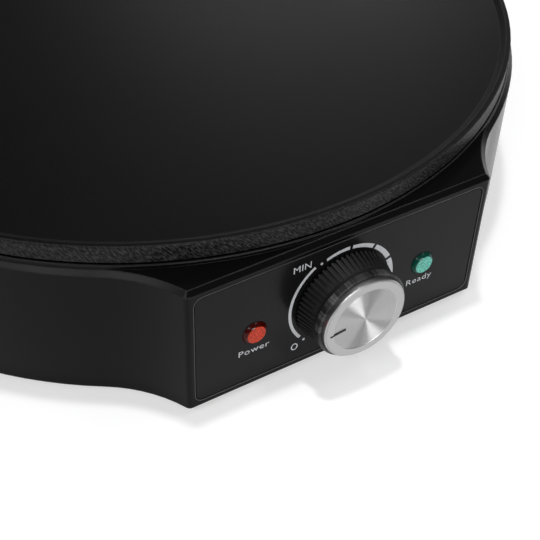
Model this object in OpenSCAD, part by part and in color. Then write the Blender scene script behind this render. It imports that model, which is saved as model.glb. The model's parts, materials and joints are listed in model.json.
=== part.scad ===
// Electric crepe maker: a cast cooking plate on a moulded housing with a flat control front.
// Millimetres, +Z up, the control front faces -Y. The origin lies on the table, below the
// middle of the overall length and width; the axis of the round plate stands axis_y behind it.

/* [Cooking plate] */
// Outer radius of the plate
plate_r = 152.5; // [148:0.5:160]
// Thickness of the plate between its edge and its ribs
plate_t = 5; // [4.6:0.1:6]
// Height of the plate's edge, from the top of the lip to its bottom
plate_edge_h = 7; // [6.6:0.1:8]
// Radial width of the thick edge
plate_edge_w = 5; // [4.5:0.1:6]
// Height of the lip above the cooking surface
lip_rise = 1.2; // [0.8:0.1:1.6]
// Width of the flat top of the lip
lip_w = 1.9; // [1:0.1:2.4]
// Width of the slope from the lip down to the cooking surface
lip_slope_w = 2.1; // [1:0.1:3]
// Air gap between the plate's edge and the collar of the housing
plate_gap = 0.5; // [0.4:0.1:2]
// Depth of the blind screw holes in the plate
blind_depth = 3.2; // [2.6:0.1:3.6]

/* [Housing] */
// Height of the wall's lower edge above the table
foot_h = 3; // [2.5:0.5:8]
// How far the round wall stands outside the plate
plate_margin = 2.3; // [1.5:0.1:4]
// How far the flat front stands in front of the round wall
front_proud = 0.3; // [0.1:0.1:2]
// Width of the flat front between its sharp corners
front_w = 123.2; // [118:0.2:128]
// Radius of the hollow coves between the round wall and the front
cove_r = 55; // [48:1:62]
// Radius of the upright front corners
corner_r = 2.2; // [1.9:0.1:2.4]
// Height of the wall, from its lower edge to the deck
deck_h = 55; // [53:0.5:64]
// Size of the chamfer round the shoulder
shoulder_c = 1.8; // [1:0.1:1.8]
// Height of the collar above the deck
collar_rise = 1.6; // [0.6:0.1:2]
// Width of the collar
collar_w = 2.2; // [1.6:0.1:3]
// Bevel on the edges of the collar
collar_bevel = 0.3; // [0.1:0.1:0.5]
// Thickness of the side wall
wall_t = 2.5; // [2.5:0.1:3]
// Thickness of the deck
deck_t = 2.5; // [2:0.1:3.5]
// Thickness of the front wall with the frame of the panel
front_wall_t = 4.5; // [4:0.1:5.5]
// Thickness of the inner ledge that carries the plate
ledge_t = 2.5; // [2:0.1:3.5]
// How far that ledge reaches inside the plate's edge
ledge_in = 41.5; // [40.5:0.5:46.5]
// Width of the gap in the ledge behind the knob
ledge_notch_w = 52; // [40:1:60]
// Number of gussets below the ledge
gusset_count = 18; // [12:2:24]
// Thickness of the gussets and webs
gusset_t = 2; // [1.5:0.1:2.5]
// Height of the gussets
gusset_h = 14; // [8:1:18]

/* [Control panel] */
// Thickness of the panel
panel_t = 2; // [1.6:0.1:2.4]
// How far the panel lies behind the face of its frame
panel_sunk = 0.2; // [0.1:0.05:0.4]
// Groove round the panel
panel_groove = 0.4; // [0.2:0.05:0.6]
// Width of the frame beside the panel, from the sharp corner
panel_side = 3; // [2.8:0.1:6]
// Width of the frame above the panel, below the shoulder
panel_above = 2.2; // [1.5:0.1:4]
// Width of the frame below the panel
panel_below = 2.4; // [1.5:0.1:4]
// Corner radius of the panel
panel_corner_r = 3; // [1.5:0.1:5]
// Height of the knob's axis above the lower edge of the wall
knob_up = 26.4; // [25:0.1:29]
// Distance of each lamp from the knob's axis
lamp_x = 35.5; // [33:0.1:40]
// Height of the lamps above the lower edge of the wall
lamp_up = 24.8; // [22:0.1:28]
// Radius of the lenses
lens_r = 4.7; // [4.5:0.1:5.5]
// How far the lenses stand in front of the frame
lens_proud = 1.4; // [1:0.1:4]
// Bevel round the face of each lens
lens_bevel = 1.3; // [0.2:0.05:1.4]
// Wall of the hollow lenses
lens_wall = 1.2; // [0.8:0.1:1.2]
// Thickness of the flange behind each lens
lens_flange_t = 1.2; // [0.8:0.1:2]
// Radius of the neon lamps
lamp_r = 2.8; // [2.4:0.1:3]
// Length of the neon lamps
lamp_len = 12; // [10:0.5:13]
// Depth of the sockets for lenses and lamp holders
socket_depth = 7; // [5:0.5:9]
// Length of the lamp holders
holder_len = 10; // [8.5:0.5:12]

/* [Knob] */
// How far the face of the knob stands in front of the panel's frame
knob_depth = 14.7; // [13.5:0.1:20]
// Gap between the knob's skirt and the frame of the panel
knob_gap = 1; // [0.6:0.1:2]
// Radius over the ribs at the foot of the knob
rib_tip_r = 19.2; // [18.8:0.1:20.5]
// Radius of the skirt between the ribs at its foot
skirt_foot_r = 18.2; // [17.8:0.1:18.5]
// Radius of the skirt at its neck
skirt_neck_r = 17.3; // [17:0.1:17.5]
// Radius of the smooth band behind the cap
band_r = 17.9; // [17.6:0.1:18.4]
// Length of the smooth band
band_len = 2.7; // [2:0.1:3.5]
// Length of the smooth stretch between the ribs and the band
neck_len = 1.6; // [1:0.1:2.5]
// Width of each rib
rib_w = 0.9; // [0.6:0.1:1.2]
// Number of ribs round the skirt
rib_count = 60; // [40:4:72]
// Wall of the hollow skirt
skirt_wall = 2; // [1.5:0.1:2.5]
// Thickness of the knob's front wall behind the cap
knob_web_t = 1.5; // [1.2:0.1:2.5]
// Radius of the cap
cap_r = 16.7; // [16:0.1:16.9]
// How far the cap stands in front of the band
cap_proud = 2.2; // [1.5:0.1:3]
// How deep the cap is let into the band
cap_seat = 0.9; // [0.5:0.1:1.5]
// Bevel of the cap's front edge
cap_bevel = 0.6; // [0.3:0.1:0.9]
// Radius of the turned disc inside the cap's rim
cap_disc_r = 13.2; // [12:0.1:14]
// Depth of that turned disc
cap_dish = 0.2; // [0.1:0.05:0.4]
// Inner end of the pointer line
pointer_in_r = 8.2; // [5:0.1:9]
// Outer end of the pointer line
pointer_out_r = 14.6; // [14.2:0.1:15.4]
// Width of the pointer line
pointer_w = 0.8; // [0.5:0.1:1.5]
// Depth of the groove for the pointer line
pointer_depth = 0.7; // [0.5:0.1:1]
// Where the pointer stands at rest, clockwise from the top
pointer_angle = -97; // [-136:1:136]
// Radius of the hub
hub_r = 6; // [5:0.1:7]
// Radius of the thermostat spindle
spindle_r = 3; // [2.6:0.1:3.2]
// Depth of the flat on the spindle
flat_depth = 0.9; // [0.5:0.1:1.2]
// Clearance of the spindle in the panel and the front wall
spindle_clear = 1.2; // [0.5:0.1:2]

/* [Heating] */
// Radius of the element's ring
ring_r = 95; // [90:0.5:97]
// Radius of the element's tube
tube_r = 3.3; // [2.8:0.1:3.8]
// Clearance between the element and its seat
seat_gap = 0.15; // [0.1:0.05:0.3]
// Thickness of the two ribs that hold the element
track_t = 2.2; // [1.5:0.1:3]
// Half of the angle between the two ends of the ring
ring_gap = 14; // [12:0.5:17]
// Bend radius of the cold ends
bend_r = 7; // [6:0.5:8]
// Length of the straight cold ends
cold_end_len = 12; // [9:0.5:15]
// Length of the ceramic beads on the cold ends
bead_len = 3; // [2:0.5:5]
// Radius of the terminal pins
pin_r = 1.2; // [0.8:0.1:1.6]
// Thickness of the element clips
clip_t = 1; // [0.8:0.1:1.5]
// Width of the element clips
clip_w = 10; // [8.5:0.5:14]
// How far the circle of plate screws lies inside the plate's edge
boss_in = 32.5; // [28.5:0.5:34.5]
// Radius of the plate's bosses
boss_r = 6.5; // [5.5:0.1:8]
// How far the heat shield's rim lies inside the plate's edge
shield_in = 17.5; // [16.5:0.5:20.5]
// Thickness of the heat shield
shield_t = 0.8; // [0.6:0.1:1.2]
// Height of the shield's rim
shield_rim_h = 6; // [3:0.5:7]
// Air between the clip screws and the shield
shield_air = 0.9; // [0.5:0.1:2]
// Length of the ceramic spacers below the shield
spacer_h = 4; // [3:0.5:6]
// Outer radius of the spacers
spacer_r = 6; // [5:0.1:7]
// Distance of the earth screw behind the plate's axis
earth_y = 58; // [50:1:70]
// Radius of the thermal fuse
fuse_r = 2.2; // [1.6:0.1:2.6]
// Length of the thermal fuse
fuse_len = 12; // [10:0.5:16]
// Distance of the thermal fuse from the plate's axis, to the left and to the front
fuse_off = 48; // [40:1:56]

/* [Thermostat] */
// Thickness of the thermostat's bracket
bracket_t = 1.5; // [1.2:0.1:2]
// Width of the bracket
bracket_w = 22; // [20:0.5:24]
// Gap between the shield's rim and the bracket
bracket_gap = 2; // [1:0.1:3]
// Length of the bracket's foot under the plate
bracket_foot = 20.5; // [18:0.5:24]
// How far the bracket reaches below the spindle
bracket_drop = 11; // [10:0.5:13]
// Radius of the threaded bush
bush_r = 4.4; // [4.2:0.1:5]
// Length of the bush in front of the bracket
bush_len = 6; // [4:0.5:8]
// Radius of the bush's shoulder
bush_shoulder_r = 6.4; // [6.2:0.1:7]
// Thickness of the bush's shoulder
bush_shoulder_t = 2; // [1.5:0.1:3]
// Nut size across its flats
nut_af = 13; // [12:0.5:15]
// Thickness of the nut
nut_t = 2.5; // [2:0.1:3]
// Thickness of the thermostat's frame
frame_t = 1.2; // [1:0.1:2]
// Width of the thermostat's frame
frame_w = 18; // [14:0.5:20]
// Radius of the ceramic washers
washer_r = 5; // [4.5:0.1:5.4]
// Thickness of each ceramic washer
washer_t = 2.6; // [2.2:0.1:3.5]
// Thickness of the thermostat strips
strip_t = 0.7; // [0.5:0.1:1]
// Width of the thermostat strips
strip_w = 7; // [6:0.5:8]
// Height of the washer stack above the spindle
stack_up = 11; // [10.5:0.5:12]
// Radius of the rivet through the stack
rivet_r = 1.5; // [1.2:0.1:1.8]

/* [Base] */
// Thickness of the bottom cover
cover_t = 2.5; // [2.3:0.1:3.5]
// How far the cover lies above the lower edge of the wall
cover_recess = 1; // [0.5:0.1:2]
// Gap round the cover
cover_gap = 0.3; // [0.2:0.05:0.6]
// Height of the screw pads on the cover
pad_h = 1.5; // [1:0.1:3]
// Radius of the screw posts
post_r = 4.5; // [4:0.1:5.5]
// Distance of the posts from the inside of the wall
post_in = 6.5; // [6:0.1:9]
// Length of the cover screws above their heads
cover_screw_len = 14; // [10:1:20]
// Radius of the feet
foot_r = 9; // [8:0.5:11]
// Distance of the feet from the middle, to the left and right
foot_x = 80; // [70:1:84]
// Distance of the front feet from the plate's axis
foot_front = 92; // [84:1:94]
// Distance of the rear feet from the plate's axis
foot_rear = 88; // [80:1:92]
// Number of vent slots
vent_count = 24; // [12:4:28]
// Width of each vent slot
vent_w = 3; // [2:0.5:4]
// Inner end of the vent slots
vent_in_r = 42; // [36:1:50]
// Outer end of the vent slots
vent_out_r = 72; // [60:1:76]
// Height of the stiffening ring on the cover
cover_rib_h = 3; // [2:0.5:5]

/* [Cord entry] */
// Radius of the passage for the cord
cord_hole_r = 3.6; // [3:0.1:4.2]
// Radius of the gland's body in the wall
gland_r = 6.5; // [6:0.1:7]
// Radius of the gland's outer flange
gland_flange_r = 8.5; // [8:0.1:9.2]
// Radius of the gland's inner lip
gland_lip_r = 7.6; // [7.2:0.1:8.5]
// How far the gland stands out of the wall
gland_proud = 3.2; // [2:0.1:6]
// Height of the cord entry above the lower edge of the wall
gland_up = 18; // [17:0.5:22]
// Depth of the flat seat for the flange
gland_seat = 0.9; // [0.6:0.1:1.2]
// Length of the terminal block
block_l = 34; // [33:1:40]
// Depth of the terminal block
block_w = 16; // [14:1:20]
// Height of the terminal block
block_h = 13; // [11:0.5:16]
// Distance from the middle of the terminal block to the inside of the rear wall
block_in = 40; // [32:1:52]

/* [Fasteners and fits] */
// Shank radius of the plate, clip and earth screws
m4_r = 2; // [1.8:0.05:2.2]
// Shank radius of the small screws
m3_r = 1.5; // [1.3:0.05:1.7]
// Height of the screw heads
head_h = 2.2; // [1.8:0.1:2.4]
// Length of thread that holds each plate screw
thread_len = 8; // [6:0.5:9]
// Clearance of a screw in a plain hole
screw_gap = 0.3; // [0.2:0.05:0.5]
// Clearance between pieces that push together
push_gap = 0.1; // [0.05:0.05:0.2]
// Radial clearance of the spindle and of threads
run_gap = 0.05; // [0.02:0.01:0.1]
// Gap between the turning spindle and what it faces
face_gap = 0.3; // [0.3:0.05:0.6]

/* [Hidden] */
$fn = 96;
over = 1; // how far cutters reach past what they cut

// Radii and depths of the housing
body_r = plate_r + plate_margin;
front_y = body_r + front_proud;
inner_r = body_r - wall_t;
collar_out_r = body_r - shoulder_c;
collar_in_r = collar_out_r - collar_w;

// Places that follow the plate's edge and the wall
ledge_in_r = plate_r - ledge_in;
boss_circle_r = plate_r - boss_in;
shield_r = plate_r - shield_in;
block_y = inner_r - block_in;

// The overall length runs from the knob's face to the gland, and its middle is the origin
axis_y = (front_y + knob_depth - body_r - gland_proud) / 2;

// Heights above the table
wall_z = foot_h;
deck_z = wall_z + deck_h;
collar_z = deck_z + collar_rise;
edge_z = collar_z + plate_gap;
lip_z = edge_z + plate_edge_h;
cook_z = lip_z - lip_rise;
under_z = cook_z - plate_t;
track_h = 2 * (tube_r + seat_gap);
track_z = under_z - track_h;
tube_z = under_z - seat_gap - tube_r;
clip_z = track_z - clip_t;
shield_z = clip_z - head_h - shield_air;
ledge_z = shield_z - shield_t - spacer_h;
ledge_low_z = ledge_z - ledge_t;
cover_z = wall_z + cover_recess;
cover_top_z = cover_z + cover_t;
pad_z = cover_top_z + pad_h;
knob_z = wall_z + knob_up;
lamp_z = wall_z + lamp_up;
gland_z = wall_z + gland_up;

// Coves: circles outside the wall that touch it and pass through the sharp front corners
cove_c = body_r + cove_r;
corner_d = norm([front_w / 2, front_y]);
cove_angle = atan2(front_w / 2, front_y)
    + acos((cove_c * cove_c + corner_d * corner_d - cove_r * cove_r) / (2 * cove_c * corner_d));
cove = cove_c * [sin(cove_angle), -cos(cove_angle)];

// Panel
panel_w = front_w - 2 * panel_side;
panel_h = deck_h - shoulder_c - panel_above - panel_below;
panel_mid_z = wall_z + panel_below + panel_h / 2;
pocket_depth = panel_t + panel_sunk;
peg_r = 1.2;
peg_x = panel_w / 2 - 8;
peg_z = panel_h / 2 - 7;
socket_r = lens_r + 1.4;
socket_wall = 1.6;

// Screws, posts and bosses
m4_head_r = m4_r + 1.7;
m3_head_r = m3_r + 1.4;
post_circle_r = inner_r - post_in;
post_angles = [0, 50, 130, 180, 230, 310];
gusset_free = 4; // degrees that a gusset keeps from a post
boss_angles = [45, 135, 225, 315];
clip_angles = [20, 160, 215, 325];
clip_boss_r = 4;
track_out = tube_r + seat_gap + track_t;
clip_circle_r = ring_r + track_out + clip_boss_r + 2;
clip_in_r = ring_r - track_out - screw_gap;
earth_boss_r = 5;
tab_w = 6.3;
tab_t = 0.8;
tab_len = 8.5;
pin_proud = 1; // how far the terminal pins stand out of their beads
fuse_z = under_z - push_gap - fuse_r;
fuse_screw_y = fuse_r + 5.5;
feet_places = [[-foot_x, -foot_front], [foot_x, -foot_front], [-foot_x, foot_rear], [foot_x, foot_rear]];
foot_boss_h = 4;
foot_boss_r = 5;
foot_sole = 0.8;
block_boss_h = 3;
block_bite = 1.5; // how deep its screws' holes reach into the cover
block_head_z = cover_top_z + block_boss_h + block_h - head_h - 1;
block_way = 10;

// Depths of the thermostat, from the plate's axis towards the front
bracket_y = -(shield_r + bracket_gap);
frame_y = bracket_y + bush_shoulder_t;
stack_y = frame_y + frame_t;
strip_step = washer_t + strip_t;
stack_z = knob_z + stack_up;
stack_len = 3 * washer_t + 2 * strip_t;
leaf_drop = 8; // how far the leaves reach below the spindle
leaf_tab_reach = 16.3; // from the rivet to the end of a leaf's tab
contact_in = 2.5; // from the end of a leaf to the middle of its contact
contact_r = 1.6;
bracket_screw = [bracket_w / 2 - 5, bracket_y + 11];
spigot_r = bush_shoulder_r - 1;
spindle_flange_r = spigot_r - 0.6;
spindle_flange_t = 1;
spindle_hole_r = spindle_r + spindle_clear;

// Depths of the knob, in front of the panel's frame
band_front = knob_depth - cap_proud;
band_back = band_front - band_len;
seat_front = band_front - cap_seat;
web_back = seat_front - knob_web_t;
rib_end = band_back - neck_len;

// ---------- helpers ----------

// Everything below is drawn round the plate's axis
module on_axis() translate([0, axis_y, 0]) children();

// Local +Z points out of the front, local +Y up, and z = 0 is the face of the panel's frame
module facing_front(x, z) translate([x, -front_y, z]) rotate([90, 0, 0]) children();

// Local +Z points to the back, from the depth y
module facing_back(x, y, z) translate([x, y, z]) rotate([-90, 0, 0]) children();

module around(angles, r, z) for (a = angles) rotate([0, 0, a]) translate([r, 0, z]) children();

module ring(r_out, r_in, h) difference() {
    cylinder(h = h, r = r_out);
    translate([0, 0, -over]) cylinder(h = h + 2 * over, r = r_in);
}

module rounded_rect(w, h, r) union() {
    square([w - 2 * r, h], center = true);
    square([w, h - 2 * r], center = true);
    for (sx = [-1, 1], sy = [-1, 1]) translate([sx * (w / 2 - r), sy * (h / 2 - r)]) circle(r = r);
}

// A round shaft with the spindle's flat on its +Y side
module d_shaft(r, h) difference() {
    cylinder(h = h, r = r);
    translate([-r, r - flat_depth, -over]) cube([2 * r, 2 * r, h + 2 * over]);
}

// A screw that points up: its head hangs below z = 0 and has a crossed recess
module screw(shank_r, head_r, length) union() {
    cylinder(h = length, r = shank_r);
    difference() {
        translate([0, 0, -head_h]) cylinder(h = head_h, r1 = head_r - 0.5, r2 = head_r);
        for (a = [0, 90]) rotate([0, 0, a]) translate([-shank_r, -0.35, -head_h - over])
            cube([2 * shank_r, 0.7, over + head_h / 2]);
    }
}

// ---------- outline of the housing ----------

// Rounding that is left of a front corner where the outline is moved inwards
function corner_left(inset) = max(corner_r - inset, 0);
function corner_mid(inset) = let (
        k = corner_left(inset),
        y = -(front_y - inset - k),
        reach = cove_r + inset + k
    ) [cove[0] - sqrt(reach * reach - pow(y - cove[1], 2)), y];

// Where the corner's rounding runs into the cove
function corner_end(inset) = let (to = corner_mid(inset) - cove)
    cove + to / norm(to) * (cove_r + inset);

function mirrored(points) = [for (i = [len(points) - 1:-1:0]) [-points[i][0], points[i][1]]];

// Right half of the straight-sided blank between the plate's axis and the front
function blank_side(inset) = let (mid = corner_mid(inset)) concat(
    [[mid[0], -(front_y - inset)]],
    corner_left(inset) > 0 ? [mid, corner_end(inset)] : [],
    [(body_r - inset) * [sin(cove_angle), -cos(cove_angle)]]
);

module front_blank(inset)
    polygon(concat(blank_side(inset), [[0, 0]], mirrored(blank_side(inset))));

module at_coves() for (s = [-1, 1]) translate([s * cove[0], cove[1]]) children();

module at_corners(inset) for (s = [-1, 1])
    translate([s * corner_mid(inset)[0], corner_mid(inset)[1]]) children();

// The front part of the outline, moved inwards by inset
module front_outline(inset) union() {
    difference() {
        front_blank(inset);
        at_coves() circle(r = cove_r + inset);
    }
    if (corner_left(inset) > 0) at_corners(inset) circle(r = corner_left(inset));
}

module outline(inset) union() {
    circle(r = body_r - inset);
    front_outline(inset);
}

// The space inside the walls, less a gap; the front wall is thicker than the rest
module inner_outline(gap) difference() {
    outline(wall_t + gap);
    translate([-front_w, -front_y - over]) square([2 * front_w, front_wall_t + gap + over]);
}

// ---------- plate and heating ----------

module plate_section() polygon([
    [0, under_z], [plate_r - plate_edge_w, under_z], [plate_r - plate_edge_w, edge_z],
    [plate_r - 0.4, edge_z], [plate_r, edge_z + 0.4], [plate_r, lip_z - 0.3], [plate_r - 0.3, lip_z],
    [plate_r - lip_w, lip_z], [plate_r - lip_w - lip_slope_w, cook_z], [0, cook_z]
]);

// Two ribs that hold the element, open where its ends turn down
module element_track() difference() {
    translate([0, 0, track_z]) ring(ring_r + track_out, ring_r - track_out, track_h + over);
    translate([0, 0, track_z - over])
        ring(ring_r + tube_r + seat_gap, ring_r - tube_r - seat_gap, track_h + over);
    translate([-ring_r * sin(ring_gap), 0, track_z - over])
        cube([2 * ring_r * sin(ring_gap), 2 * ring_r, track_h + 3 * over]);
}

module plate_boss(r, z) translate([0, 0, z]) cylinder(h = under_z + over - z, r = r);

module threaded_hole(r, z, depth) translate([0, 0, z - over]) cylinder(h = depth + over, r = r + run_gap);

module cooking_plate() color([0.10, 0.10, 0.10]) on_axis() difference() {
    union() {
        rotate_extrude() plate_section();
        element_track();
        around(boss_angles, boss_circle_r, 0) plate_boss(boss_r, shield_z);
        around(clip_angles, clip_circle_r, 0) plate_boss(clip_boss_r, track_z);
        translate([0, earth_y, 0]) plate_boss(earth_boss_r, shield_z);
    }
    around(boss_angles, boss_circle_r, 0) threaded_hole(m4_r, shield_z, thread_len + 0.5);
    around(clip_angles, clip_circle_r, 0) threaded_hole(m4_r, track_z, track_h);
    translate([0, earth_y, 0]) threaded_hole(m4_r, shield_z, thread_len + 0.5);
    for (s = [-1, 1]) translate([s * bracket_screw[0], bracket_screw[1], 0])
        threaded_hole(m3_r, under_z, blind_depth);
    at_fuse() translate([0, fuse_screw_y, 0]) threaded_hole(m3_r, under_z, blind_depth);
}

// At each end of the ring: local +Y runs on along the ring, into the gap
module at_cold_ends() for (m = [0, 1]) mirror([m, 0, 0]) rotate([0, 0, 90 - ring_gap])
    translate([ring_r, 0, tube_z]) children();

module heating_element() color([0.34, 0.31, 0.28]) on_axis() union() {
    translate([0, 0, tube_z]) rotate([0, 0, 90 + ring_gap])
        rotate_extrude(angle = 360 - 2 * ring_gap) translate([ring_r, 0]) circle(r = tube_r, $fn = 32);
    at_cold_ends() {
        translate([0, 0, -bend_r]) rotate([0, -90, 0])
            rotate_extrude(angle = 90) translate([bend_r, 0]) circle(r = tube_r, $fn = 32);
        translate([0, bend_r, -bend_r - cold_end_len]) cylinder(h = cold_end_len, r = tube_r, $fn = 32);
        // slight bead where the bent end is joined to the ring
        sphere(r = tube_r + seat_gap / 3, $fn = 48);
    }
}

// Below the ends of the element, z = 0 is the end of the tube
module below_cold_ends() at_cold_ends() translate([0, bend_r, -bend_r - cold_end_len]) children();

module element_beads() color([0.92, 0.90, 0.84]) on_axis() below_cold_ends()
    translate([0, 0, -bead_len]) ring(tube_r, pin_r + push_gap, bead_len);

module element_terminals() color([0.75, 0.73, 0.68]) on_axis() below_cold_ends() {
    translate([0, 0, -bead_len - pin_proud]) cylinder(h = bead_len + pin_proud, r = pin_r);
    translate([-tab_w / 2, -tab_t / 2, -bead_len - pin_proud / 2 - tab_len]) cube([tab_w, tab_t, tab_len]);
}

module element_clips() color([0.62, 0.62, 0.60]) on_axis() around(clip_angles, 0, clip_z) difference() {
    union() {
        translate([clip_in_r, -clip_w / 2, 0]) cube([clip_circle_r + clip_boss_r - clip_in_r, clip_w, clip_t]);
        translate([clip_in_r - clip_t, -clip_w / 2, 0]) cube([clip_t, clip_w, 3 * clip_t]);
    }
    translate([clip_circle_r, 0, -over]) cylinder(h = clip_t + 2 * over, r = m4_r + screw_gap);
}

module clip_screws() color([0.70, 0.70, 0.70]) on_axis() around(clip_angles, clip_circle_r, clip_z)
    screw(m4_r, m4_head_r, clip_t + track_h - over);

module heat_shield() color([0.72, 0.73, 0.74]) on_axis() difference() {
    rotate_extrude() polygon([
        [0, shield_z - shield_t], [shield_r, shield_z - shield_t], [shield_r, shield_z + shield_rim_h],
        [shield_r - shield_t, shield_z + shield_rim_h], [shield_r - shield_t, shield_z], [0, shield_z]
    ]);
    around(boss_angles, boss_circle_r, shield_z - shield_t - over)
        cylinder(h = shield_t + 2 * over, r = m4_r + screw_gap);
    translate([0, earth_y, shield_z - shield_t - over])
        cylinder(h = shield_t + 2 * over, r = m4_r + screw_gap);
    at_cold_ends() translate([0, bend_r, -tube_z + shield_z - shield_t - over])
        cylinder(h = shield_t + 2 * over, r = tube_r + 2);
}

module plate_spacers() color([0.90, 0.88, 0.82]) on_axis() around(boss_angles, boss_circle_r, ledge_z)
    ring(spacer_r, m4_r + screw_gap, spacer_h);

module plate_screws() color([0.70, 0.70, 0.70]) on_axis() around(boss_angles, boss_circle_r, ledge_low_z)
    screw(m4_r, m4_head_r, ledge_t + spacer_h + shield_t + thread_len);

// The earth connection: a push-on tab that the screw clamps below the shield
module earth_tab() color([0.76, 0.74, 0.66]) on_axis()
    translate([0, earth_y, shield_z - shield_t - tab_t]) difference() {
        union() {
            cylinder(h = tab_t, r = m4_head_r + 0.8);
            translate([-tab_w / 2, 0, 0]) cube([tab_w, 9, tab_t]);
            translate([-tab_w / 2, 9 - tab_t, -8]) cube([tab_w, tab_t, 8 + tab_t]);
        }
        translate([0, 0, -over]) cylinder(h = tab_t + 2 * over, r = m4_r + screw_gap);
    }

module earth_screw() color([0.80, 0.68, 0.35]) on_axis()
    translate([0, earth_y, shield_z - shield_t - tab_t])
        screw(m4_r, m4_head_r, tab_t + shield_t + thread_len);

module at_fuse() translate([-fuse_off, -fuse_off, 0]) children();

module thermal_fuse() color([0.80, 0.78, 0.72]) on_axis() at_fuse()
    translate([-fuse_len / 2, 0, fuse_z]) rotate([0, 90, 0]) union() {
        cylinder(h = fuse_len, r = fuse_r);
        translate([0, 0, -6]) cylinder(h = fuse_len + 12, r = 0.5, $fn = 24);
    }

// A saddle over the fuse: a foot on each side lies against the plate
module fuse_clip_section() difference() {
    union() {
        translate([0, fuse_z]) circle(r = fuse_r + push_gap + clip_t);
        translate([-fuse_r - push_gap - clip_t, fuse_z])
            square([2 * (fuse_r + push_gap + clip_t), under_z - fuse_z]);
        translate([-fuse_r - clip_t - 4, under_z - clip_t])
            square([fuse_r + clip_t + 4 + fuse_screw_y + m3_head_r + 0.6, clip_t]);
    }
    translate([0, fuse_z]) circle(r = fuse_r + push_gap);
    translate([-fuse_r - push_gap, fuse_z]) square([2 * (fuse_r + push_gap), under_z - fuse_z + over]);
    translate([-2 * fuse_screw_y, under_z]) square(4 * fuse_screw_y);
}

module fuse_clip() color([0.62, 0.62, 0.60]) on_axis() at_fuse() difference() {
    rotate([90, 0, 90]) linear_extrude(8, center = true) fuse_clip_section();
    translate([0, fuse_screw_y, under_z - clip_t - over])
        cylinder(h = clip_t + 2 * over, r = m3_r + screw_gap);
}

module fuse_screw() color([0.70, 0.70, 0.70]) on_axis() at_fuse()
    translate([0, fuse_screw_y, under_z - clip_t]) screw(m3_r, m3_head_r, clip_t + blind_depth - 0.2);

// ---------- housing ----------

module round_body() rotate_extrude() polygon([
    [0, wall_z], [body_r, wall_z], [body_r, deck_z - shoulder_c], [collar_out_r, deck_z],
    [collar_out_r, collar_z - collar_bevel], [collar_out_r - collar_bevel, collar_z], [0, collar_z]
]);

// The chamfered top of the front part: a cut along the front, a cone in each cove, a cone on each corner
module front_shoulder() union() {
    difference() {
        linear_extrude(shoulder_c) front_blank(0);
        at_coves() cylinder(h = shoulder_c, r1 = cove_r, r2 = cove_r + shoulder_c);
        translate([0, -front_y, 0]) rotate([90, 0, 90]) linear_extrude(2 * front_w, center = true)
            polygon([[0, 0], [2 * shoulder_c, 2 * shoulder_c], [-over, 2 * shoulder_c], [-over, 0]]);
    }
    at_corners(0) cylinder(h = shoulder_c, r1 = corner_r, r2 = corner_r - shoulder_c);
}

module shell() difference() {
    union() {
        round_body();
        translate([0, 0, wall_z]) linear_extrude(deck_h - shoulder_c) front_outline(0);
        translate([0, 0, deck_z - shoulder_c]) front_shoulder();
    }
    translate([0, 0, wall_z - over]) linear_extrude(deck_h - deck_t + over) inner_outline(0);
    rotate_extrude() polygon([
        [0, deck_z - deck_t - over], [collar_in_r, deck_z - deck_t - over],
        [collar_in_r, collar_z - collar_bevel], [collar_in_r + collar_bevel + over, collar_z + over],
        [0, collar_z + over]
    ]);
}

module ledge() translate([0, 0, ledge_low_z]) linear_extrude(ledge_t) difference() {
    outline(wall_t / 2);
    circle(r = ledge_in_r);
    translate([-ledge_notch_w / 2, -2 * body_r]) square([ledge_notch_w, 2 * body_r]);
}

module gussets() for (i = [0:gusset_count - 1]) {
    a = (i + 0.5) * 360 / gusset_count;
    to_post = min([for (p = post_angles) abs(a - p)]);
    // none where the wall leaves the round or a post stands
    if (abs(a - 270) > cove_angle + 2 && to_post > gusset_free) rotate([0, 0, a])
        translate([0, gusset_t / 2, 0]) rotate([90, 0, 0]) linear_extrude(gusset_t) polygon([
            [ledge_in_r + 4, ledge_low_z], [inner_r + wall_t / 2, ledge_low_z - gusset_h],
            [inner_r + wall_t / 2, ledge_low_z + ledge_t / 2], [ledge_in_r + 4, ledge_low_z + ledge_t / 2]
        ]);
}

module posts() around(post_angles, post_circle_r, pad_z) {
    post_h = ledge_low_z + ledge_t / 2 - pad_z;
    cylinder(h = post_h, r = post_r);
    translate([0, -gusset_t / 2, 0]) cube([post_in + wall_t / 2, gusset_t, post_h]);
}

module at_lamps() for (s = [-1, 1]) facing_front(s * lamp_x, lamp_z) children();

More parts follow.
